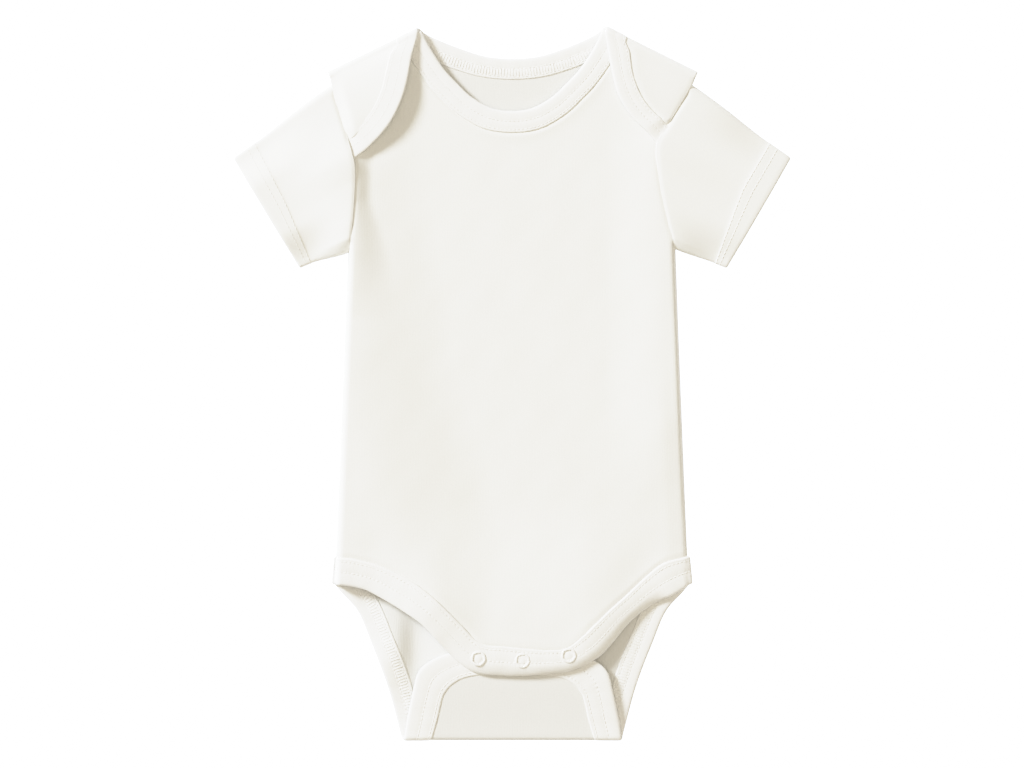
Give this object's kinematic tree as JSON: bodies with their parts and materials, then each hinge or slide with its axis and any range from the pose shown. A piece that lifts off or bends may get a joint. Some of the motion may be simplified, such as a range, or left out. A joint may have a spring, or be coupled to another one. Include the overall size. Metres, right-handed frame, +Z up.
{
  "type": "baby bodysuit",
  "caption": "Off-white knitted baby bodysuit with short sleeves, lap shoulders and a snap crotch, laid flat on its back.",
  "frame": {"origin": "middle of the garment on the surface it lies on", "axes": "+Z up from the surface, +Y from the crotch to the neck, +X to the right seen from above"},
  "size_m": [0.3347, 0.4294, 0.0144],
  "materials": {
    "knit": "soft matt cotton interlock",
    "binding": "soft matt cotton rib",
    "snap": "off-white enamel, satin"
  },
  "bodies": {
    "root": {"back_panel": "knit", "crotch_tab": "knit", "front_panel": "knit", "sleeve_left": "knit", "sleeve_right": "knit", "neck_binding_back": "binding", "neck_binding_front": "binding", "leg_binding": "binding", "snap_ring_1": "snap", "snap_ring_2": "snap", "snap_ring_3": "snap", "snap_socket_1": "snap", "snap_socket_2": "snap", "snap_socket_3": "snap", "snap_stud_1": "snap", "snap_stud_2": "snap", "snap_stud_3": "snap", "snap_back_ring_1": "snap", "snap_back_ring_2": "snap", "snap_back_ring_3": "snap"}
  },
  "joints": []
}
